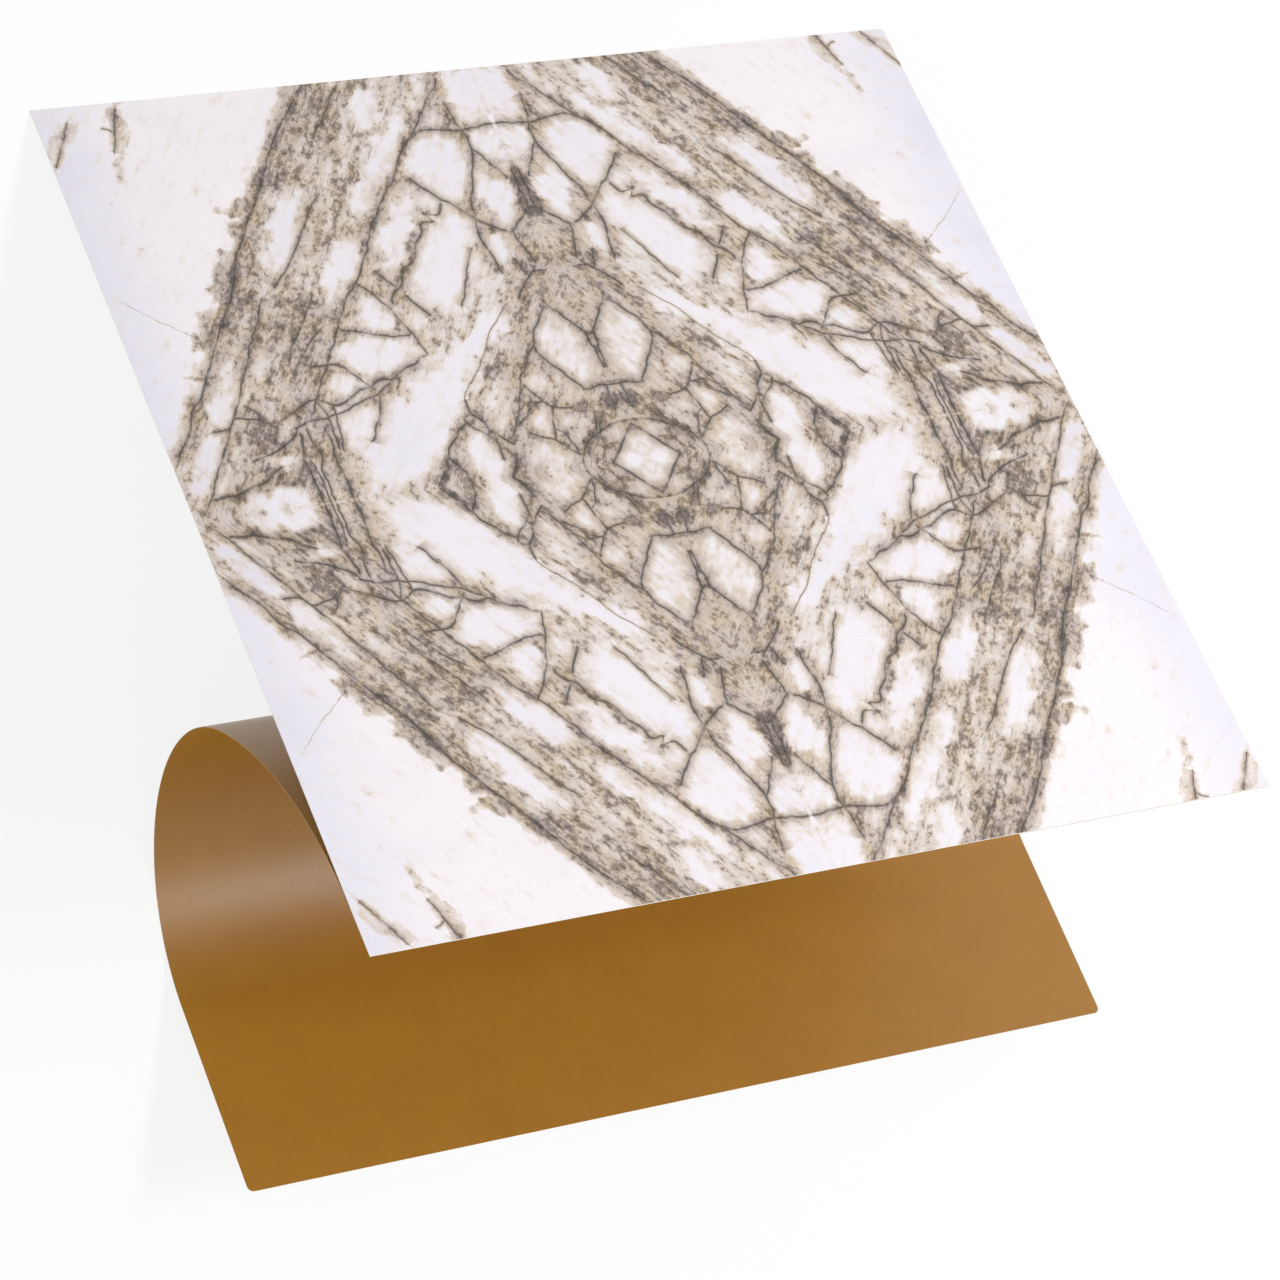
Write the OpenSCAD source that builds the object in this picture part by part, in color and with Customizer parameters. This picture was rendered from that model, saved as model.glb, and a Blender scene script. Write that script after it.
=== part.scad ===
// Self-adhesive vinyl tile, with its release liner peeled back and curled under it.
// The sheet's own frame has its origin at the middle of the film's front edge, on the
// adhesive side: +X runs along the front edge, +Y to the back edge, +Z out of the print.
// at_rest() then sets the whole thing down on a level floor, in the middle of its footprint.

/* [Tile film] */
// Width of the film, along its front edge
tile_w = 300; // [150:5:600]
// Length of the film, from front edge to back edge
tile_l = 300; // [270:5:600]
// Thickness of the film, with its print and adhesive
tile_t = 0.3; // [0.15:0.05:2]

/* [Release liner] */
// Thickness of the release paper
liner_t = 0.2; // [0.1:0.05:0.5]
// Radius of the two free corners of the paper
liner_corner_r = 2; // [0.5:0.5:20]

/* [Peel] */
// Length of the paper that is still stuck under the front edge
stuck_l = 12; // [5:1:20]
// Radius of the long bend where the paper leaves the film, at its outside
peel_r = 122; // [90:1:140]
// Angle of that bend, in degrees
peel_turn = 45; // [30:1:60]
// Radius of the tight bend that turns the paper under, at its outside
curl_r = 56; // [40:1:62]
// How far the free end still points down when it has turned under, in degrees
flap_dip = 2; // [0:1:10]
// Largest angle that one flat of a bend takes, in degrees
bend_step = 2; // [1:0.5:5]

/* [Hidden] */

// The paper was cut with the film, so both are one size
liner_w = tile_w;
liner_l = tile_l;

// The paper turns right over, less the dip that its free end keeps
curl_turn = 180 - peel_turn - flap_dip;
whole_turn = peel_turn + curl_turn;
// Bends are measured along the outside, the face that was on the adhesive
flap_l = liner_l - stuck_l - arc_length(peel_r, peel_turn) - arc_length(curl_r, curl_turn);

// Places on the paper's outside in the sheet's own frame, as [y, z]
peel_centre = [stuck_l, -peel_r];
curl_centre = peel_centre + (peel_r - curl_r) * outward(peel_turn);
flap_tip = curl_centre + curl_r * outward(whole_turn) + flap_l * onward(whole_turn);
back_edge = [tile_l, 0];

// The film tips back on the curl until its back edge meets the floor: the floor is the
// line through that edge that touches the curl from below
to_back = back_edge - curl_centre;
rest_tilt = atan2(to_back[1], to_back[0]) + asin(curl_r / norm(to_back));

// Reach and height of the sheet once it is tipped
front_y = tipped(flap_tip)[0];
back_y = tipped(back_edge + [0, tile_t])[0];
floor_z = tipped(back_edge)[1];

// How far a corner cut reaches past the paper, so that it cuts clean through
cut_past = 1;

// Length of an arc, by its radius and its angle
function arc_length(r, turn) = r * turn * PI / 180;

// Direction out of the paper's outside face, after the paper has turned by an angle
function outward(turn) = [sin(turn), cos(turn)];

// Direction in which the paper runs on, after it has turned by an angle
function onward(turn) = [cos(turn), -sin(turn)];

// A place in the sheet's own frame, seen in the tipped one
function tipped(p) = [
    p[0] * cos(rest_tilt) + p[1] * sin(rest_tilt),
    p[1] * cos(rest_tilt) - p[0] * sin(rest_tilt)
];

// Angles at which the flats of a bend end, between one angle and another
function bend_angles(from, to) =
    let (flats = ceil((to - from) / bend_step))
    [for (i = [1:flats]) from + (to - from) * i / flats];

// One face of the bent paper, a depth below its outside, from the stuck end to the free end
function face(depth) = concat(
    [[0, -depth], [stuck_l, -depth]],
    [for (turn = bend_angles(0, peel_turn)) peel_centre + (peel_r - depth) * outward(turn)],
    [for (turn = bend_angles(peel_turn, whole_turn)) curl_centre + (curl_r - depth) * outward(turn)],
    [flap_tip - depth * outward(whole_turn)]
);

// The same points in the opposite order
function backwards(points) = [for (i = [len(points) - 1:-1:0]) points[i]];

// Sets the sheet down on the floor, in the middle of its footprint
module at_rest() {
    translate([0, -(front_y + back_y) / 2, -floor_z])
        rotate([-rest_tilt, 0, 0])
            children();
}

// Moves to the paper's free edge, with +Y running on past it
module at_flap_tip() {
    translate([0, flap_tip[0], flap_tip[1]])
        rotate([-whole_turn, 0, 0])
            children();
}

// What is cut away to round one free corner, on the side given as 1 or -1
module corner_cut(side) {
    translate([side * (liner_w / 2 - liner_corner_r), -liner_corner_r, -liner_t - cut_past])
        difference() {
            translate([side > 0 ? 0 : -liner_corner_r - cut_past, 0, 0])
                cube([liner_corner_r + cut_past, liner_corner_r + cut_past, liner_t + 2 * cut_past]);
            cylinder(h = liner_t + 2 * cut_past, r = liner_corner_r, $fn = 48);
        }
}

// The printed film, flat
module vinyl_tile() {
    color("#e4e1e8")
        at_rest()
            translate([-tile_w / 2, 0, 0])
                cube([tile_w, tile_l, tile_t]);
}

// The release paper: stuck strip, long bend, tight bend, free end
module release_liner() {
    color("#a2752f")
        at_rest()
            difference() {
                rotate([90, 0, 90])
                    linear_extrude(liner_w, center = true)
                        polygon(concat(face(0), backwards(face(liner_t))));
                for (side = [-1, 1])
                    at_flap_tip() corner_cut(side);
            }
}

vinyl_tile();
release_liner();
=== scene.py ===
import math

import bmesh
import bpy
from mathutils import Matrix, Vector


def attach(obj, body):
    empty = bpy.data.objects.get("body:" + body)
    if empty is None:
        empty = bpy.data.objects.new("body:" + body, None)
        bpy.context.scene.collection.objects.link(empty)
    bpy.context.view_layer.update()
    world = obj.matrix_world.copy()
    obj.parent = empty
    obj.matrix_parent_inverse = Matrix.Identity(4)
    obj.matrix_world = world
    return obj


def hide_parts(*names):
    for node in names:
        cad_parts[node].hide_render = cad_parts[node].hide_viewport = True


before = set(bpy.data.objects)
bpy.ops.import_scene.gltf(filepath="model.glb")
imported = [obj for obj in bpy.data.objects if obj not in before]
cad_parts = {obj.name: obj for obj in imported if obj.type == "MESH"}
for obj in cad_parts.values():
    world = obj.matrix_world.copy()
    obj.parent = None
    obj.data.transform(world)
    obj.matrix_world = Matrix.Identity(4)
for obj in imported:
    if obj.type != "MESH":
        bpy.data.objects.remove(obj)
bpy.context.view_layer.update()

# Sizes, in millimetres
MM = 0.001
TILE_W = 300
TILE_L = 300
LINER_T = 0.2
LINER_CORNER_R = 2
STUCK_L = 12
PEEL_R = 122
PEEL_TURN = 45
CURL_R = 56
FLAP_DIP = 2
TILE_T = 0.3


def outward(turn):
    """Direction out of the paper's outer face after a turn in degrees, as (y, z) in the sheet's frame."""
    return Vector((math.sin(math.radians(turn)), math.cos(math.radians(turn))))


def onward(turn):
    """Direction in which the paper runs on after a turn in degrees."""
    return Vector((math.cos(math.radians(turn)), -math.sin(math.radians(turn))))


whole_turn = 180 - FLAP_DIP
peel_length = math.radians(PEEL_TURN) * PEEL_R
curl_length = math.radians(whole_turn - PEEL_TURN) * CURL_R
peel_centre = Vector((STUCK_L, -PEEL_R))
curl_centre = peel_centre + (PEEL_R - CURL_R) * outward(PEEL_TURN)
flap_length = TILE_L - STUCK_L - peel_length - curl_length
flap_tip = curl_centre + CURL_R * outward(whole_turn) + flap_length * onward(whole_turn)

# The sheet lies tipped back: its back edge and the belly of the curl both touch the floor
to_back = Vector((TILE_L, 0)) - curl_centre
rest_tilt = math.atan2(to_back.y, to_back.x) + math.asin(CURL_R / to_back.length)
tip = Matrix.Rotation(-rest_tilt, 4, "X")


def tipped(place):
    """A (y, z) place of the sheet's frame, once the sheet is tipped."""
    turned = tip @ Vector((0, place[0], place[1]))
    return turned.yz


front_y = tipped(flap_tip).x
back_y = tipped((TILE_L, TILE_T)).x
floor_z = tipped((TILE_L, 0)).y
lay_down = Matrix.Translation(Vector((0, -(front_y + back_y) / 2, -floor_z)) * MM) @ tip


def in_frame(x, place):
    """A point of the sheet, at x across and (y, z), as a point of the row's frame in metres."""
    return lay_down @ (Vector((x, place[0], place[1])) * MM)


# The camera, in the sheet's own frame and in millimetres
EYE = Vector((-674.28, -539.23, 1072.76))
LOOK = Vector((0.4603853, 0.4464755, -0.7672712))
UP = Vector((0.1408243, 0.8166406, 0.5597023))
LENS = 134.82
SENSOR = 36

camera = bpy.data.objects.new("camera", bpy.data.cameras.new("camera"))
bpy.context.scene.collection.objects.link(camera)
camera.data.lens = LENS
camera.data.sensor_width = SENSOR
across = LOOK.cross(UP).normalized()
aim = Matrix((across, across.cross(LOOK).normalized(), -LOOK.normalized())).transposed().to_4x4()
camera.matrix_world = lay_down @ Matrix.Translation(EYE * MM) @ aim
bpy.context.scene.camera = camera
bpy.context.scene.view_settings.view_transform = "Standard"


class Amount:
    """One number that varies over a surface. Sums on it add the Math nodes that work them out."""

    def __init__(self, finish, socket):
        self.finish = finish
        self.socket = socket

    def __add__(self, other):
        return self.finish.sum("ADD", self, other)

    __radd__ = __add__

    def __mul__(self, other):
        return self.finish.sum("MULTIPLY", self, other)

    __rmul__ = __mul__

    def __sub__(self, other):
        return self.finish.sum("SUBTRACT", self, other)

    def __rsub__(self, other):
        return self.finish.sum("SUBTRACT", other, self)

    def __truediv__(self, other):
        return self.finish.sum("DIVIDE", self, other)

    def __abs__(self):
        return self.finish.sum("ABSOLUTE", self)


class Finish:
    """A material or a world under construction."""

    def __init__(self, owner):
        self.owner = owner
        owner.use_nodes = True
        self.tree = owner.node_tree
        self.tree.nodes.clear()

    def node(self, kind, settings=None, sockets=None):
        """Adds a node: first its settings, then the values or links of its sockets."""
        made = self.tree.nodes.new(kind)
        for name, value in (settings or {}).items():
            if name in ("lines", "straight_lines"):
                made.mapping.use_clip = False
                for curve, line in zip(made.mapping.curves, value):
                    curve.points[0].location = line[0]
                    curve.points[1].location = line[-1]
                    for place in line[1:-1]:
                        curve.points.new(*place)
                    for point in curve.points:
                        point.handle_type = "AUTO" if name == "lines" else "VECTOR"
                made.mapping.update()
            else:
                setattr(made, name, value)
        for name, value in (sockets or {}).items():
            socket = made.inputs[name]
            if isinstance(value, Amount):
                value = value.socket
            if isinstance(value, bpy.types.NodeSocket):
                self.tree.links.new(value, socket)
            else:
                socket.default_value = value
        return made

    def sum(self, operation, *values):
        made = self.node("ShaderNodeMath", {"operation": operation}, dict(enumerate(values)))
        return Amount(self, made.outputs[0])

    def vector(self, operation, *values):
        """Vector maths. A dot product comes back as an Amount."""
        made = self.node("ShaderNodeVectorMath", {"operation": operation}, dict(enumerate(values)))
        if operation == "DOT_PRODUCT":
            return Amount(self, made.outputs["Value"])
        return made.outputs[0]

    def best(self, operation, vector):
        """The least or the greatest of a vector's three numbers."""
        parts = [Amount(self, part) for part in self.node("ShaderNodeSeparateXYZ", None, {0: vector}).outputs]
        return self.sum(operation, self.sum(operation, parts[0], parts[1]), parts[2])

    def combine(self, x, y, z=0.0):
        return self.node("ShaderNodeCombineXYZ", None, {0: x, 1: y, 2: z}).outputs[0]

    def mix(self, share, first, second, blend="MIX"):
        """Colour first, going over to second as share goes from 0 to 1."""
        made = self.node("ShaderNodeMix", {"data_type": "RGBA", "blend_type": blend},
                         {0: share, 6: first, 7: second})
        return made.outputs[2]

    def ease(self, value, start, end, low=0.0, high=1.0):
        """Goes softly from low, where value is start, to high, where it is end."""
        made = self.node("ShaderNodeMapRange", {"interpolation_type": "SMOOTHSTEP"},
                         {0: value, 1: start, 2: end, 3: low, 4: high})
        return Amount(self, made.outputs[0])

    def noise(self, place, size, detail=2.0, roughness=0.5, dimensions="3D"):
        """Noise with features of about that size, from 0 to 1."""
        made = self.node("ShaderNodeTexNoise", {"noise_dimensions": dimensions, "normalize": True},
                         {"Vector": place, "Scale": 1 / size, "Detail": detail, "Roughness": roughness})
        return Amount(self, made.outputs[0])

    def drawn_out(self, place, angle, times):
        """A place in a pattern that is drawn out so many times along a direction."""
        made = self.node("ShaderNodeMapping", {"vector_type": "TEXTURE"},
                         {"Vector": place, "Rotation": (0, 0, math.radians(angle)), "Scale": (times, 1, 1)})
        return made.outputs[0]

    def shader(self, **sockets):
        """The shader of a plain surface, with its sockets named with low lines for spaces."""
        named = {name.replace("_", " "): value for name, value in sockets.items()}
        return self.node("ShaderNodeBsdfPrincipled", None, named).outputs[0]

    def blended(self, share, first, second):
        """Shader first, going over to second as share goes from 0 to 1."""
        return self.node("ShaderNodeMixShader", None, {0: share, 1: first, 2: second}).outputs[0]

    def done(self, shader):
        self.node("ShaderNodeOutputMaterial", None, {"Surface": shader})
        return self.owner

    def seen_white(self):
        """1 for what the camera, a reflection or glass sees, and 0 for light that falls on things."""
        path = self.node("ShaderNodeLightPath").outputs
        by_camera, by_gloss, by_glass = [Amount(self, path[f"Is {kind} Ray"])
                                         for kind in ("Camera", "Glossy", "Transmission")]
        return self.sum("MAXIMUM", by_camera, self.sum("MAXIMUM", by_gloss, by_glass))


def tint(red, green, blue):
    """A colour written as it shows on a screen, from 0 to 255, as the linear one that a shader takes."""
    def linear(level):
        level /= 255
        return level / 12.92 if level <= 0.04045 else ((level + 0.055) / 1.055) ** 2.4
    return (linear(red), linear(green), linear(blue), 1)


# Middle of the book match, from the sheet's own middle of the front edge
MATCH_X = -2.5
MATCH_Y = 146.9
# How the print was stretched towards the left and the front, per millimetre, and skewed
STRETCH_X = 1.43e-4
STRETCH_Y = -5.4e-5
SKEW = 0.00267

# Veins on one quarter of the book match: width, then places as (out from the middle line, up from the middle)
VEINS = [
    (0.55, (56, 153.5), (61, 150), (65, 145), (70, 139.5), (75, 133.5), (80, 126), (85, 118), (90, 110.5),
     (95, 104), (100, 96.5), (105, 88.5), (110, 78), (116, 69.5), (122, 60), (128, 51), (133, 43.5),
     (137, 39), (141, 32), (146, 25), (151, 18)),
    (0.5, (98, 78), (102, 73), (105, 68), (109, 62), (113, 55), (117, 48), (120, 43), (125, 35), (130, 27),
     (134, 21), (138, 15), (142, 8.5), (146, 3), (149, -1)),
    (0.4, (66, 114), (70, 109), (75, 103), (80, 96), (84, 91), (88, 86), (92, 82), (98, 77)),
    (0.5, (10, 151.5), (15, 145.5), (21, 139), (27.5, 130.5), (35, 123), (40, 115.5), (47.5, 107), (55, 97),
     (61.3, 87), (67.5, 78), (75, 70), (80, 62), (85, 54.5), (90, 47), (95, 40), (98, 35), (103, 29)),
    (0.4, (82.5, 78), (86, 72), (90, 66), (94, 61), (98, 56), (102, 49)),
    (0.4, (85, 63), (90, 59), (94, 55), (98, 50.5), (102, 45)),
    (0.7, (113, 30), (106, 33.5), (102, 35.5), (97, 37), (92, 34), (88, 35), (85, 36.5), (82, 38), (78, 39),
     (75, 40.5), (72, 41), (70, 40.5), (68, 42), (65, 43.8), (60, 45.3), (57, 47), (53, 48)),
    (0.6, (111, 27), (106, 28), (102, 29.5), (97, 30), (93, 30.5), (90, 31.5), (85, 33), (80, 35), (77, 36),
     (74, 38), (69, 41)),
    (0.6, (127, 17), (122, 19), (118, 20), (114, 21.5), (110, 24), (106, 26.5)),
    (0.8, (145, 5.7), (139, 7), (134, 7.3), (130, 8.8), (125, 10), (122, 11.5), (119, 13.8), (114, 15.5)),
    (0.5, (136, 30), (131, 30.5), (128, 31), (125, 34), (121, 33), (118, 32.3), (115, 30), (111, 27.5)),
    (0.5, (122, 39), (118, 36), (117, 33), (115, 31), (112, 28)),
    (0.6, (98, 46.5), (94, 48.5), (89, 48.5), (85, 47.5), (82, 44), (79, 40), (76, 36)),
    (0.6, (76.5, 37), (78, 31), (80, 27), (82, 24), (84, 20.5), (87, 18)),
    (0.6, (82, 60.5), (76, 59.5), (72, 58), (68, 57), (64, 55.8), (60, 55.5), (56, 56.3)),
    (0.5, (70, 78), (67, 75), (65, 72.5), (63, 69), (60, 64)),
    (0.6, (60.5, 64), (59.5, 68.5), (57, 71.5), (54.5, 73.5), (53, 76.5), (51, 80), (48, 81), (46, 83),
     (44, 87), (42, 90), (40, 92.5), (38.5, 96), (36.5, 98), (34.5, 96), (32, 98), (30, 101), (28, 105)),
    (0.45, (61, 66.5), (59, 60), (57.5, 56), (56.5, 51), (54.5, 46)),
    (0.45, (61, 81), (58, 76.5), (56, 73)),
    (0.7, (54.5, 71), (52, 66), (50.5, 64), (48.5, 60.5)),
    (0.45, (24, 86), (28, 81), (31, 75.5), (33, 72), (34.5, 68), (37, 64.5), (38.5, 61)),
    (0.7, (31, 125.5), (27, 129.5), (24, 130.5), (20, 129.8), (15, 129), (11, 128.8), (6, 129.3), (-2, 130)),
    (0.6, (14, 143), (13, 136), (12.5, 132), (11.5, 128), (11, 124), (11.3, 120), (13, 116), (15, 111),
     (17, 106), (19, 102), (20, 97), (20.3, 92)),
    (0.45, (11.5, 122), (9, 118), (7, 114.5), (5, 111), (3, 107)),
    (0.7, (38, 115.5), (35, 111.5), (33, 108.5), (30, 105), (28, 103), (24, 99), (20, 94.5), (17, 92),
     (14, 90), (9, 87.5)),
    (0.7, (12, 87.5), (9, 89), (7, 91.5), (4, 94), (1.5, 96), (-2, 98.5)),
    (0.6, (20, 97), (21, 91), (21.5, 87), (21, 83), (20, 79), (20, 75), (18.5, 71)),
    (0.5, (10, 90), (9.5, 84), (9, 82), (8, 79), (6.5, 75)),
    (0.5, (14, 79), (12.5, 75), (12, 72.5), (10.5, 70)),
    (0.6, (19, 62), (17, 64.5), (15, 67), (13, 69.5), (11, 71), (9, 72.5), (4, 72.5)),
    (0.6, (11, 63), (9, 58.5), (7, 56), (5, 53), (3, 50), (1, 48), (-2, 46)),
    (0.6, (1, 49), (1.3, 45), (0.7, 42), (0.5, 38), (0.4, 33)),
    (0.5, (9, 62.5), (12, 58), (14, 55.5), (16, 53), (18, 50.5), (19, 47.5), (20, 46), (23, 42.5), (25, 40),
     (27, 37), (29, 35), (30, 32), (31.5, 29), (33, 25.5), (35, 22), (37, 19), (38, 17), (43, 11)),
    (0.6, (20.3, 48), (19.5, 42), (18, 39.5), (16.5, 37), (15, 35.5), (13, 32), (11.5, 30), (8, 26)),
    (0.6, (12, 28), (8, 27.5), (5, 28), (3, 28), (-2, 27.8)),
    (0.5, (30, 33.5), (28, 30), (26.5, 27.5), (25.5, 25.5), (23.5, 23.5), (21.5, 22), (19, 21.7), (15, 21)),
    (0.5, (33.5, 27), (30, 25.5), (27, 25), (24.5, 25)),
    (0.5, (24, 25.2), (28.5, 24), (31, 22.5), (33, 20.5), (37, 17.5)),
    (0.5, (22.7, 24), (24, 19.5), (25, 16), (26, 13), (27, 9.5)),
    (0.55, (35.5, 16), (32, 13.5), (29, 12), (26.7, 11), (24.5, 8.8), (22.5, 6.5), (20, 3)),
    (0.45, (26, 15.5), (23.5, 13.5), (22.3, 11), (21.5, 8), (20.8, 3)),
    (0.7, (49.3, 32), (50, 26.5), (49.5, 23.5), (48, 21.5), (46.5, 18.5), (45.5, 15), (45.5, 11), (45.7, 4)),
    (0.6, (54, 24), (51, 19.5), (49, 17.5), (47, 15.5), (44.5, 12)),
    (0.6, (47.5, 20), (45, 16.5), (43, 14), (39.5, 11)),
    (0.9, (41.5, 9.5), (42, 5.5), (44, 2), (47, -2)),
    (0.6, (51, 23.5), (56, 19), (59, 16), (62, 12.5), (63.5, 10), (65, 7.5), (66.5, 5), (69, 2), (72, -2)),
    (0.7, (64.5, 12), (61.5, 7), (60, 4.5), (59.5, 2), (59, -2)),
    (0.75, (-2.5, 15.6), (2, 10.6), (5.8, 6.4), (9.5, 2.2), (14, -2.8)),
    (0.45, (-2, 14.6), (4.5, 14), (10, 12.3), (14.5, 10), (18, 7), (20.3, 3), (21.3, -2)),
    (0.45, (10, 20), (11.7, 14), (12.2, 12)),
    (0.5, (2.4, 29), (2.6, 24), (3.2, 18)),
    (0.6, (97.5, 38), (96, 32), (95.5, 28), (96, 24), (96.5, 17)),
    (0.7, (106, 28), (107, 23), (108.7, 17), (108.5, 10), (108.3, 5), (108.5, -2)),
    (0.5, (106.8, 17), (106, 8), (106.3, -2)),
    (0.5, (103, 30), (104, 24), (103, 18), (104.5, 12), (104.5, 5), (104.4, -2)),
    (0.6, (99.5, 29), (98, 24), (98.7, 15), (98.3, 8), (98.8, -2)),
    (0.45, (93, 35), (93, 29), (94, 24), (95.5, 16)),
    (0.45, (121.5, 154), (124, 147), (126, 141), (128.5, 134)),
    (0.5, (1.5, 113), (0.9, 108), (1.4, 104), (1.0, 99), (2, 94)),
    (0.4, (46, 152), (49, 148.5), (53, 143), (57, 138), (60, 134.5), (63, 131)),
    (0.04, (147.5, 83), (144, 79.5), (137, 73), (131, 68), (124, 62)),
    (0.3, (129.5, 146), (127, 144.5), (124.5, 142)), (0.3, (138, 151), (142, 144), (145.5, 138), (149, 131)),
    (0.12, (20, 64), (25, 60), (30, 55), (34.5, 49.5), (38, 44), (43, 38), (49, 31.5), (52, 25)),
]
# How the veins and stains run in a quarter, in degrees
BAND = -56
# Soft brown patches: middle, half length, half width, angle and strength
STAINS = [
    (62, 138, 22, 9, BAND, 0.9), (80, 120, 9, 5, BAND, 0.9), (89, 106, 5, 4, BAND, 0.9),
    (59, 112, 8, 5, BAND, 0.85), (72, 95, 14, 4, BAND, 0.75), (106, 80, 18, 5.5, BAND, 1),
    (95, 69, 13, 6, BAND, 0.95), (99, 50, 9, 6, 90, 0.85), (84, 66, 7, 5, BAND, 0.85),
    (121, 25, 10, 7, -20, 1), (113, 11, 9, 5, 0, 0.95), (50, 48, 7, 6, BAND, 0.85),
    (1, 103, 10, 3.5, 90, 1.1), (5, 73, 14, 9, 90, 0.75), (17, 62, 9, 6, BAND, 0.8),
    (36, 37, 12, 5, BAND, 0.75), (8, 20, 11, 5.5, 0, 1.05), (14, 7, 8, 5, 100, 1.15),
    (41, 6, 8, 5, 90, 0.8), (66, 4, 7, 6, 0, 0.85), (24, 134, 10, 4, BAND, 0.6),
    (30, 127, 6, 5, BAND, 0.85), (17, 147, 10, 5, BAND, 0.75), (43, 150, 11, 5, BAND, 0.85),
    (125, 140, 15, 2.2, -72, 0.36), (144, 141, 11, 2, BAND, 0.3), (47, 24, 13, 4, BAND, 0.7),
    (24, 26, 6, 3, 0, 0.75), (8, 44, 5, 1.5, 90, 0.6), (20, 36, 8, 2, 80, 0.65),
    # The fringe of flecks along the outermost vein, and its spurs
    (102, 92, 40, 4, BAND, 0.8), (96, 110, 4, 2.5, 10, 0.8), (112, 81, 4, 2.5, 0, 0.7),
    (119, 71, 3, 2.5, 10, 0.6), (125, 62, 4, 2, 0, 0.7), (131, 50, 3, 1.5, 20, 0.6),
    (30, 126, 3.5, 3, BAND, 1.15), (107, 46.5, 4, 4, 90, 0.85), (36, 35, 8, 5, BAND, 1),
    (27, 53, 14, 3, -40, 0.85),
]
# White lenses that the stains leave free, told in the same way
CLEARINGS = [
    (85, 98, 15, 4.5, BAND, 0.85), (71, 82.5, 12, 4, BAND, 0.95), (47, 95, 16, 4, BAND, 0.9),
    (36, 80, 21, 8.5, BAND, 1), (66, 64.5, 6.5, 5, BAND, 1), (69, 49.5, 15, 6, 5, 1),
    (67, 24, 27, 10, -42, 1), (25, 115, 15, 8, -75, 1), (11, 103, 12, 5, 75, 1),
    (5, 127, 11, 5.5, 90, 0.95), (6, 143, 9, 7, 90, 0.95), (21, 143, 6, 4, BAND, 0.6),
    (41, 141, 8, 4, BAND, 0.8), (39, 125, 15, 3, BAND, 0.85), (52, 110, 9, 3, BAND, 0.7),
    (125, 41, 10, 4, BAND, 0.85), (138, 19, 11, 4, BAND, 0.9), (110, 51, 4, 2.5, BAND, 0.4),
    (86, 41, 6, 5, 0, 0.95), (86, 27, 9, 7, -60, 0.95), (124, 3, 9, 3, 0, 0.95),
    (104, 7, 9, 2.5, 90, 0.7), (116, 17, 7, 2.5, 10, 0.6), (10, 41, 13, 6.5, 80, 0.9),
    (17, 83, 6, 3.5, 90, 0.8), (40, 26, 9, 4, BAND, 0.6), (28, 17, 5, 4, BAND, 0.95),
    (51, 9, 9, 5, 90, 0.95), (1, 2, 8, 8, 45, 1), (37, 51, 15, 4.5, -38, 0.92),
    (27, 66, 9, 3, BAND, 0.6), (31, 6, 7, 4, 0, 0.7), (18, 14, 4, 3, 90, 0.6),
    (26, 32, 4, 3, 90, 0.7), (15, 33, 4, 2.5, 90, 0.7), (54, 62, 6, 3, -30, 0.6),
]

WHITE = tint(252, 246, 249)
COOL_WHITE = tint(234, 231, 244)
CREAM = tint(234, 221, 208)
WASH = tint(197, 182, 173)
TAN = tint(202, 180, 148)
FLECK = tint(121, 106, 97)
OLIVE = tint(124, 104, 76)
VEIN = tint(66, 60, 56)
PVC_EDGE = tint(240, 240, 240)
TACKY = tint(226, 225, 222)
WIPED_TACKY = tint(238, 237, 235)


def in_threes(rows):
    """Rows three by three, as one vector has room for. The last row is told again to fill up."""
    rows = rows + rows[-1:] * (-len(rows) % 3)
    return [rows[i:i + 3] for i in range(0, len(rows), 3)]


def measured(finish, place, rulers):
    """How far a place lies along three rulers, each with its start, its direction and its unit."""
    by_out = tuple(way.x / unit for start, way, unit in rulers)
    by_up = tuple(way.y / unit for start, way, unit in rulers)
    offset = tuple(-way.dot(start) / unit for start, way, unit in rulers)
    return finish.vector("MULTIPLY_ADD", place[1], by_up,
                         finish.vector("MULTIPLY_ADD", place[0], by_out, offset))


def vein_distance(finish, place, veins):
    """How far a place lies from each of three veins, in widths of the vein, far more past its ends."""
    # Past an end, even a place in line with the vein counts as a few widths away
    thinning, lead = 12, 0.25
    ahead_rulers, aside_rulers, paths, reaches, leads = [], [], [], [], []
    for width, *points in veins:
        start, end = Vector(points[0]), Vector(points[-1])
        length = (end - start).length
        ahead = (end - start) / length
        aside = Vector((-ahead.y, ahead.x))
        ahead_rulers.append((start, ahead, length))
        aside_rulers.append((start, aside, length))
        steps = [(Vector(point) - start) / length for point in points]
        paths.append([(step.dot(ahead), step.dot(aside)) for step in steps])
        in_widths = length / width
        taper = min(0.09, 3.5 / length)
        reaches.append([(0, thinning * in_widths), (taper, in_widths), (1 - taper, in_widths),
                        (1, thinning * in_widths)])
        leads.append(lead / in_widths)
    along = measured(finish, place, ahead_rulers)
    across = measured(finish, place, aside_rulers)
    path = finish.node("ShaderNodeVectorCurve", {"lines": paths}, {1: along}).outputs[0]
    reach = finish.node("ShaderNodeVectorCurve", {"straight_lines": reaches}, {1: along}).outputs[0]
    off_path = finish.vector("ABSOLUTE", finish.vector("SUBTRACT", across, path))
    return finish.vector("MULTIPLY_ADD", finish.vector("ADD", off_path, leads), reach, (-lead,) * 3)


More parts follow.
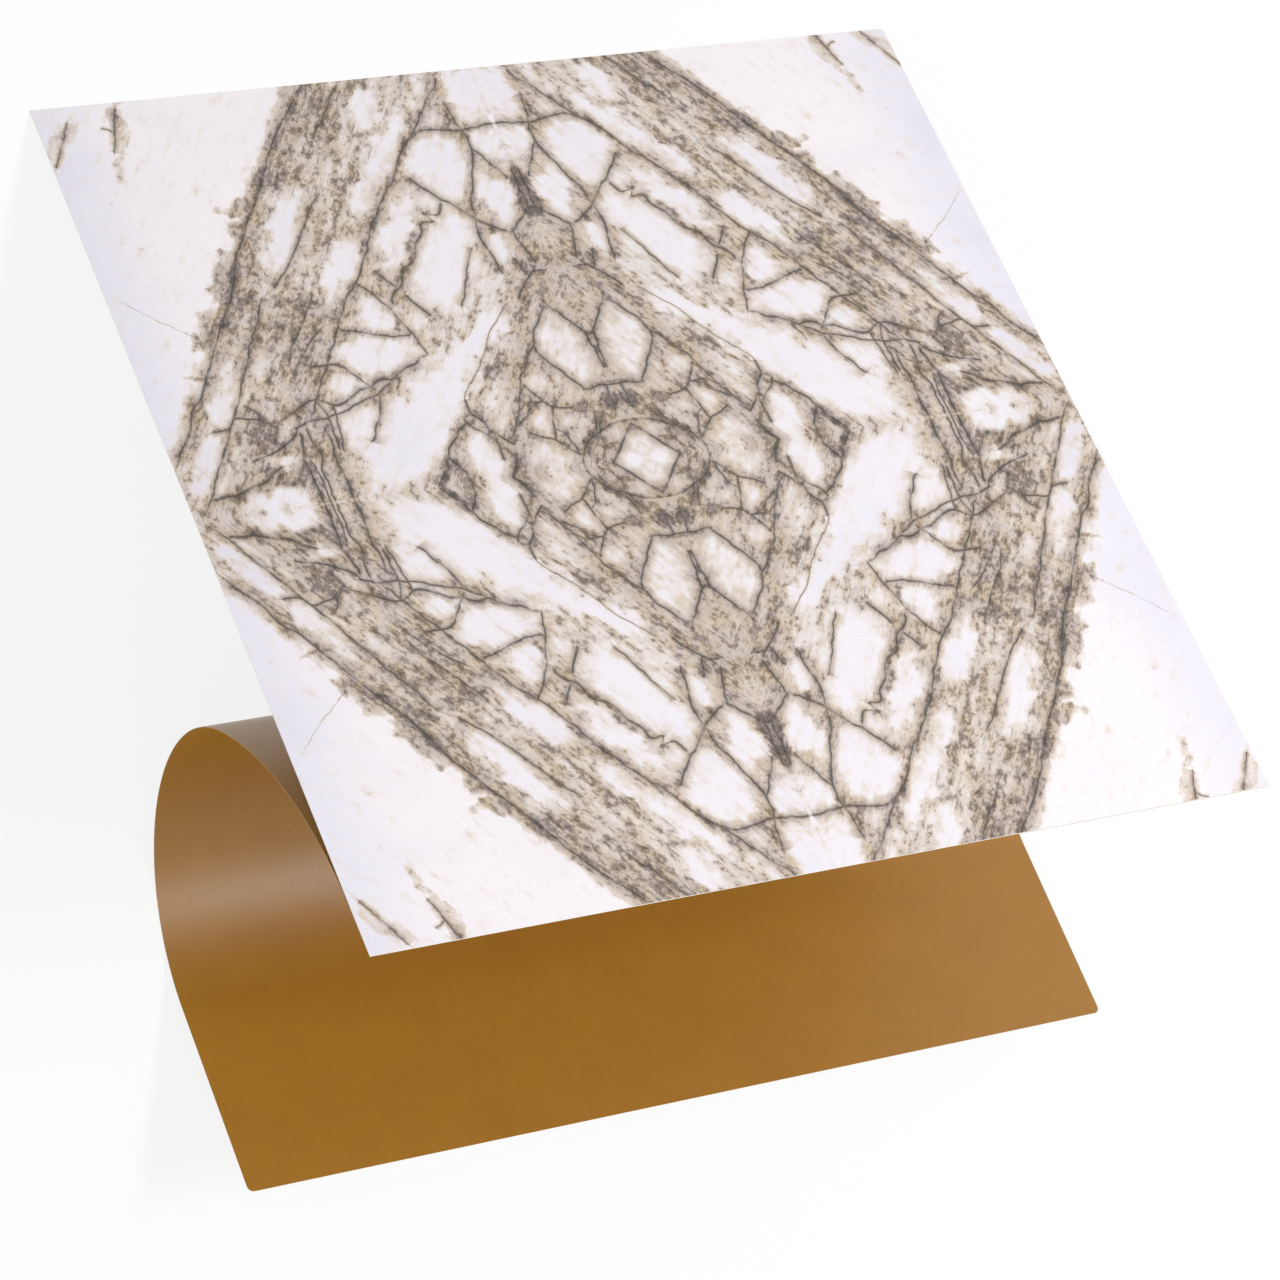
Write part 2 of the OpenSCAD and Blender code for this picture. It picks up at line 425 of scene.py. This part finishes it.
def ovals(finish, place, shapes, inner=0.15, outer=2.5):
    """The strongest of several soft ovals. Inner and outer are the squares of where they fade."""
    strongest = None
    for three in in_threes(shapes):
        turns = [math.radians(shape[4]) for shape in three]
        ways = [Vector((math.cos(turn), math.sin(turn))) for turn in turns]
        middles = [Vector(shape[:2]) for shape in three]
        ahead = measured(finish, place, [(m, way, shape[2]) for m, way, shape in zip(middles, ways, three)])
        aside = measured(finish, place, [(m, Vector((-way.y, way.x)), shape[3])
                                         for m, way, shape in zip(middles, ways, three)])
        distance = finish.vector("MULTIPLY_ADD", ahead, ahead, finish.vector("MULTIPLY", aside, aside))
        patch = finish.node("ShaderNodeMapRange",
                            {"data_type": "FLOAT_VECTOR", "interpolation_type": "SMOOTHSTEP"},
                            {6: distance, 7: (outer,) * 3, 8: (inner,) * 3, 9: (0, 0, 0),
                             10: tuple(shape[5] for shape in three)}).outputs[1]
        strongest = patch if strongest is None else finish.vector("MAXIMUM", strongest, patch)
    return finish.best("MAXIMUM", strongest)


def printed_film():
    """The stone print on the film's face, with the white edge and the tacky back of the film."""
    finish = Finish(bpy.data.materials.new("printed_film"))
    place = finish.node("ShaderNodeTexCoord").outputs["Object"]
    corner = in_frame(0, (0, 0))
    along_y = (lay_down.to_3x3() @ Vector((0, 1, 0))).normalized()
    face_z = (lay_down.to_3x3() @ Vector((0, 0, 1))).normalized()
    from_corner = finish.vector("SUBTRACT", place, tuple(corner))
    x = finish.vector("DOT_PRODUCT", from_corner, (1 / MM, 0, 0)) - MATCH_X
    y = MATCH_Y - finish.vector("DOT_PRODUCT", from_corner, tuple(along_y / MM))
    stretch = 1 + STRETCH_X * x + STRETCH_Y * y
    out = abs(x / stretch)
    up = abs((y + SKEW * x) / stretch)
    quarter = finish.combine(out, up)
    elsewhere = finish.vector("ADD", quarter, (300, 500, 0))
    film = finish.combine(x, y)

    def shifted(by, size, detail, roughness):
        """The quarter's place, moved about by noise, as its two numbers in all channels."""
        moved = []
        for value, source in ((out, quarter), (up, elsewhere)):
            moved_by = finish.noise(source, size, detail, roughness, "2D") - 0.5
            value = finish.sum("MULTIPLY_ADD", moved_by, by, value)
            moved.append(finish.combine(value, value, value))
        return moved

    # Stone never draws a straight line: its veins shift by fine noise, its stains by coarse noise
    vein_place = shifted(1.6, 5, 3, 0.5)
    nearest = None
    for three in in_threes(VEINS):
        distance = vein_distance(finish, vein_place, three)
        nearest = distance if nearest is None else finish.vector("MINIMUM", nearest, distance)
    nearest = finish.best("MINIMUM", nearest)

    stain_place = shifted(12, 9, 3, 0.48)
    cleared = ovals(finish, stain_place, CLEARINGS)
    stained = ovals(finish, stain_place, STAINS)
    # Inside the outermost vein, all that isn't a clearing is a little stained
    line_start, line_end = Vector((56, 155)), Vector((151, 22))
    line_way = (line_end - line_start).normalized()
    outward_way = Vector((-line_way.y, line_way.x))
    beyond = measured(finish, stain_place, [(line_start, outward_way, 1)] * 3)
    beyond = finish.vector("DOT_PRODUCT", beyond, (1, 0, 0))
    inside = finish.ease(beyond, 3, -3)
    near = finish.ease(nearest, 6, 1)
    density = finish.sum("MAXIMUM", inside * 0.6, stained) * (1 - cleared) + near * 0.25

    grained = finish.drawn_out(quarter, BAND, 1.5)
    clumps = finish.noise(grained, 4.5, 2, 0.6, "2D")
    flecks = finish.noise(grained, 1.7, 3, 0.68, "2D")
    streaks = finish.noise(finish.drawn_out(quarter, BAND, 12), 1.6, 2, 0.6, "2D")
    strands = finish.noise(finish.drawn_out(elsewhere, BAND, 5), 3.5, 2, 0.55, "2D")
    clean = finish.ease(density, 0.3, 0.0)
    glow = finish.ease(nearest, 16, 1)
    # The medallion in the middle is a little creamy all over
    medallion = finish.ease(out + 0.6 * up + 30 * clumps, 82, 50)
    soft = (density * 1.25 + glow * 0.3 + clumps * 1.2 + flecks * 0.8 + strands * 1.2 + medallion * 0.22
            - 1.75 - clean * 0.25)
    cream = finish.ease(soft, -0.4, 0.5)
    wash = finish.ease(soft, 0.0, 1.05)
    cover = density * 1.7 + flecks * 4.2 + clumps * 2.4 + strands * 1.2 + streaks * 1.2 - 5.45 - clean * 0.4
    fleck = finish.ease(cover, 0.0, 1.1)
    dark = finish.ease(cover, 0.9, 2.0)
    warmth = finish.ease(finish.noise(elsewhere, 9, 3, 0.6, "2D"), 0.4, 0.65)
    # Hairlines follow the middle values of the drawn-out noise, where the stone is stained
    hairline = finish.ease(abs(streaks - 0.5), 0.012, 0.002) * finish.ease(density, 0.2, 0.5)

    strength = finish.ease(finish.noise(quarter, 7, 3, 0.6, "2D"), 0.3, 0.55, 0.5, 1)
    core = finish.ease(nearest, 1.05, 0.1) * strength
    halo = finish.ease(nearest, 3.0, 0.5) * strength

    edge = finish.ease(abs(x), 118, 150)
    cloudy = finish.noise(film, 28, 3, 0.5, "2D")
    cool = edge * 0.7 + finish.ease(cloudy, 0.45, 0.75) * 0.25 + inside * 0.35
    colour = finish.mix(cool, WHITE, COOL_WHITE)
    colour = finish.mix(cream * 0.8, colour, CREAM)
    colour = finish.mix(wash * 0.85, colour, finish.mix(warmth * 0.7, WASH, TAN))
    colour = finish.mix(halo * 0.4, colour, FLECK)
    colour = finish.mix(fleck * 0.8, colour, finish.mix(warmth * 0.7, FLECK, OLIVE))
    colour = finish.mix(finish.sum("MAXIMUM", dark * 0.8, hairline * 0.55), colour, VEIN)
    colour = finish.mix(core * 0.88, colour, VEIN)
    grain = finish.ease(finish.noise(film, 0.55, 2, 0.8, "2D"), 0.2, 0.8, 0.93, 1.04)
    colour = finish.mix(1.0, colour, finish.combine(grain, grain, grain), "MULTIPLY")

    # Which way the surface faces says whether it is the print, the cut edge or the tacky back
    normal = finish.node("ShaderNodeNewGeometry").outputs["Normal"]
    facing = finish.vector("DOT_PRODUCT", normal, tuple(face_z))
    is_print = finish.ease(facing, 0.45, 0.55)
    is_back = finish.ease(facing, -0.45, -0.55)
    rough = 0.42 + 0.1 * finish.noise(film, 2.5, 3, 0.6, "2D")
    grain_height = finish.noise(film, 0.9, 2, 0.6, "2D")
    bump = finish.node("ShaderNodeBump", None, {"Strength": 0.08, "Distance": 0.0002, "Height": grain_height})
    print_face = finish.shader(Base_Color=colour, Roughness=rough, Normal=bump.outputs[0])

    smear = finish.noise(film, 9, 4, 0.6, "2D")
    tacky = finish.mix(is_back, PVC_EDGE, finish.mix(smear, TACKY, WIPED_TACKY))
    ripple = finish.node("ShaderNodeBump", None, {"Strength": 0.3, "Distance": 0.0003, "Height": smear})
    bare_vinyl = finish.shader(Base_Color=tacky, Roughness=0.5 - 0.25 * is_back * smear,
                               Normal=ripple.outputs[0])
    return finish.done(finish.blended(is_print, bare_vinyl, print_face))


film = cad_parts["vinyl_tile"]
film.data.materials.clear()
film.data.materials.append(printed_film())


def paper(name, shade, dark, roughness, mottle, coat=0.0):
    """Brown kraft paper, mottled by its fibres, on one of its faces, under a coat of silicone."""
    finish = Finish(bpy.data.materials.new(name))
    flat = finish.node("ShaderNodeAttribute", {"attribute_name": "flat_sheet"}).outputs["Vector"]
    cloud = finish.noise(flat, 18, 4, 0.6, "2D")
    fibres = finish.noise(finish.drawn_out(flat, 90, 5), 0.8, 3, 0.7, "2D")
    pulp = finish.noise(flat, 1.6, 4, 0.7, "2D")
    mask = finish.ease(cloud * 0.4 + fibres * 0.35 + pulp * 0.25, 0.3, 0.7)
    colour = finish.mix(mask * mottle, shade, dark)
    rough = roughness + 0.12 * fibres
    bump = finish.node("ShaderNodeBump", None,
                       {"Strength": 0.12, "Distance": 0.0003, "Height": pulp + fibres})
    return finish.done(finish.shader(Base_Color=colour, Roughness=rough, Coat_Weight=coat,
                                     Coat_Roughness=0.42, Normal=bump.outputs[0]))


# How many rows of faces go into each stretch of the paper, and how many columns across it
PEEL_ROWS = 30
CURL_ROWS = 133
FLAP_ROWS = 10
CORNER_ROWS = 6
COLUMNS = 24
# Edges that fold by more than this many degrees show as sharp
SHARP_ANGLE = 40


def paper_rows():
    """Stations along the paper: distance from the stuck end, place of its outer face, and turn there."""
    rows = [(s, Vector((s, 0)), 0) for s in (0, STUCK_L / 2)]
    for i in range(PEEL_ROWS + 1):
        turn = PEEL_TURN * i / PEEL_ROWS
        rows.append((STUCK_L + math.radians(turn) * PEEL_R, peel_centre + PEEL_R * outward(turn), turn))
    for i in range(1, CURL_ROWS + 1):
        turn = PEEL_TURN + (whole_turn - PEEL_TURN) * i / CURL_ROWS
        walked = STUCK_L + peel_length + math.radians(turn - PEEL_TURN) * CURL_R
        rows.append((walked, curl_centre + CURL_R * outward(turn), turn))
    straight = flap_length - LINER_CORNER_R
    left = [flap_length - straight * i / FLAP_ROWS for i in range(1, FLAP_ROWS + 1)]
    quarter_turns = [math.pi / 2 * i / CORNER_ROWS for i in range(1, CORNER_ROWS + 1)]
    left += [LINER_CORNER_R * (1 - math.sin(turn)) for turn in quarter_turns]
    for to_tip in left:
        rows.append((TILE_L - to_tip, flap_tip - to_tip * onward(whole_turn), whole_turn))
    return rows


def half_width(s):
    """Half the paper's width at a distance along it, less at its rounded free corners."""
    into_corner = s - (TILE_L - LINER_CORNER_R)
    if into_corner <= 0:
        return TILE_W / 2
    return TILE_W / 2 - LINER_CORNER_R + math.sqrt(max(0, LINER_CORNER_R ** 2 - into_corner ** 2))


# Slots of the paper's mesh
RELEASE_FACE, KRAFT_BACK, CUT_EDGE = range(3)


def build_paper():
    """The peeled paper: its two faces as grids, and the cut edge all round between them."""
    mesh_maker = bmesh.new()
    flat_sheet = mesh_maker.verts.layers.float_vector.new("flat_sheet")

    def face_grid(depth):
        grid = []
        for s, place, turn in paper_rows():
            line = []
            for i in range(COLUMNS + 1):
                x = half_width(s) * (2 * i / COLUMNS - 1)
                vertex = mesh_maker.verts.new(in_frame(x, place - depth * outward(turn)))
                vertex[flat_sheet] = (x, s, depth)
                line.append(vertex)
            grid.append(line)
        return grid

    outer, inner = face_grid(0), face_grid(LINER_T)
    for grid, slot in ((outer, RELEASE_FACE), (inner, KRAFT_BACK)):
        for here, there in zip(grid, grid[1:]):
            for j in range(COLUMNS):
                corners = (here[j], here[j + 1], there[j + 1], there[j])
                mesh_maker.faces.new(corners).material_index = slot
    last = len(outer) - 1
    rim = [(0, j) for j in range(COLUMNS)] + [(i, COLUMNS) for i in range(last)]
    rim += [(last, j) for j in range(COLUMNS, 0, -1)] + [(i, 0) for i in range(last, 0, -1)]
    for (i, j), (k, m) in zip(rim, rim[1:] + rim[:1]):
        mesh_maker.faces.new((outer[i][j], inner[i][j], inner[k][m], outer[k][m])).material_index = CUT_EDGE
    bmesh.ops.recalc_face_normals(mesh_maker, faces=mesh_maker.faces)
    mesh = bpy.data.meshes.new("peeled_paper")
    mesh_maker.to_mesh(mesh)
    mesh_maker.free()
    for face in mesh.polygons:
        face.use_smooth = True
    mesh.set_sharp_from_angle(angle=math.radians(SHARP_ANGLE))
    piece = bpy.data.objects.new("peeled_paper", mesh)
    bpy.context.scene.collection.objects.link(piece)
    return piece


liner = build_paper()
# In the order of the slots: name, paler and darker brown, roughness, mottling and coat
for finish in (("release_face", tint(164, 114, 22), tint(151, 102, 18), 0.36, 0.65, 0.5),
               ("kraft_back", tint(164, 114, 22), tint(151, 102, 18), 0.38, 0.65, 0.5),
               ("cut_edge", tint(196, 160, 104), tint(176, 136, 80), 0.7, 0.6, 0.0)):
    liner.data.materials.append(paper(*finish))
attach(liner, "root")
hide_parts("release_liner")


# Stage and light
FLOOR_PAINT = (0.9, 0.9, 0.9, 1)
SHADOW_SHARE = 0.15
SKY_LIGHT = 0.5


def white_stage():
    """A pale floor that shows white and keeps a faint shadow."""
    finish = Finish(bpy.data.materials.new("pale_floor"))
    lit = finish.node("ShaderNodeBsdfDiffuse", None, {"Color": FLOOR_PAINT})
    glow = finish.node("ShaderNodeEmission", None, {"Color": (1, 1, 1, 1), "Strength": 1.0})
    pale = finish.blended(SHADOW_SHARE, glow.outputs[0], lit.outputs[0])
    floor_top = finish.blended(finish.seen_white(), lit.outputs[0], pale)
    # From underneath, the floor doesn't hide the sheet
    from_below = finish.node("ShaderNodeNewGeometry").outputs["Backfacing"]
    clear = finish.node("ShaderNodeBsdfTransparent").outputs[0]
    finish.done(finish.blended(from_below, floor_top, clear))
    mesh_maker = bmesh.new()
    bmesh.ops.create_grid(mesh_maker, x_segments=1, y_segments=1, size=6)
    mesh = bpy.data.meshes.new("floor")
    mesh_maker.to_mesh(mesh)
    mesh_maker.free()
    mesh.materials.append(finish.owner)
    floor = bpy.data.objects.new("floor", mesh)
    bpy.context.scene.collection.objects.link(floor)


def studio():
    """An even sky, which shows white and gives less light than it shows."""
    finish = Finish(bpy.data.worlds.new("studio"))
    strength = SKY_LIGHT + (1 - SKY_LIGHT) * finish.seen_white()
    sky = finish.node("ShaderNodeBackground", None, {"Color": (1, 1, 1, 1), "Strength": strength})
    finish.node("ShaderNodeOutputWorld", None, {"Surface": sky.outputs[0]})
    bpy.context.scene.world = finish.owner


white_stage()
studio()


def softbox(name, toward, distance, size, power):
    """A soft rectangular lamp, in a direction of the sheet's frame, aimed at the sheet."""
    lamp = bpy.data.objects.new(name, bpy.data.lights.new(name, "AREA"))
    bpy.context.scene.collection.objects.link(lamp)
    lamp.data.shape = "RECTANGLE"
    lamp.data.size, lamp.data.size_y = size
    lamp.data.energy = power
    middle = in_frame(0, (TILE_L / 2, 0))
    way = (lay_down.to_3x3() @ Vector(toward)).normalized()
    lamp.location = middle + way * distance
    lamp.rotation_mode = "QUATERNION"
    lamp.rotation_quaternion = way.to_track_quat("Z", "Y")


softbox("key", (0.44, -0.58, 0.68), 1.6, (0.8, 0.3), 18)
# Low at the front left, so that the top of the curl isn't dull
softbox("fill", (-0.6, -0.75, -0.28), 1.6, (0.8, 0.2), 4)
